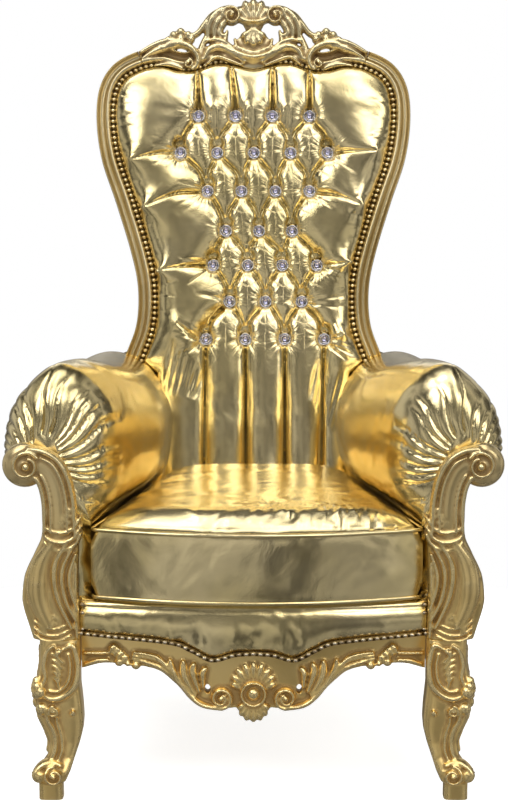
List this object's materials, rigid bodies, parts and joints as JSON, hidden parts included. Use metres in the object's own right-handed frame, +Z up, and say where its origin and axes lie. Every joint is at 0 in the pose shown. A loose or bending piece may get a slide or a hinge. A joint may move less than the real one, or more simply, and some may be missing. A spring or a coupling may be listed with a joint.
{
  "type": "throne",
  "caption": "Carved gilt armchair throne with a tall buttoned back, pierced shell crest, scrolled arm posts, padded rolled arms, shaped apron, cabriole front legs and a loose seat cushion.",
  "frame": {"origin": "on the floor, under the centre of the throne's bounding box", "axes": "+X is to the right seen from the front; the front faces -Y; +Z is up"},
  "size_m": [0.88, 0.7991, 1.4018],
  "materials": {
    "gilt_wood": "carved wood in satin gold leaf",
    "gold_leather": "glossy metallic gold leathercloth",
    "crystal": "clear cut crystal"
  },
  "bodies": {
    "root": {"front_leg_right": "gilt_wood", "front_leg_left": "gilt_wood", "arm_post_right": "gilt_wood", "arm_post_left": "gilt_wood", "front_rail": "gilt_wood", "side_rail_right": "gilt_wood", "side_rail_left": "gilt_wood", "rear_rail": "gilt_wood", "rear_leg_right": "gilt_wood", "rear_leg_left": "gilt_wood", "back_stile_right": "gilt_wood", "back_stile_left": "gilt_wood", "crest_rail": "gilt_wood", "back_pad": "gold_leather", "crystal_button_01": "crystal", "crystal_button_02": "crystal", "crystal_button_03": "crystal", "crystal_button_04": "crystal", "crystal_button_05": "crystal", "crystal_button_06": "crystal", "crystal_button_07": "crystal", "crystal_button_08": "crystal", "crystal_button_09": "crystal", "crystal_button_10": "crystal", "crystal_button_11": "crystal", "crystal_button_12": "crystal", "crystal_button_13": "crystal", "crystal_button_14": "crystal", "crystal_button_15": "crystal", "crystal_button_16": "crystal", "crystal_button_17": "crystal", "crystal_button_18": "crystal", "crystal_button_19": "crystal", "crystal_button_20": "crystal", "crystal_button_21": "crystal", "crystal_button_22": "crystal", "crystal_button_23": "crystal", "crystal_button_24": "crystal", "crystal_button_25": "crystal", "crystal_button_26": "crystal", "crystal_button_27": "crystal", "outer_back": "gold_leather", "arm_pad_right": "gold_leather", "arm_pad_left": "gold_leather", "seat_deck": "gold_leather", "seat_cushion": "gold_leather"}
  },
  "joints": []
}
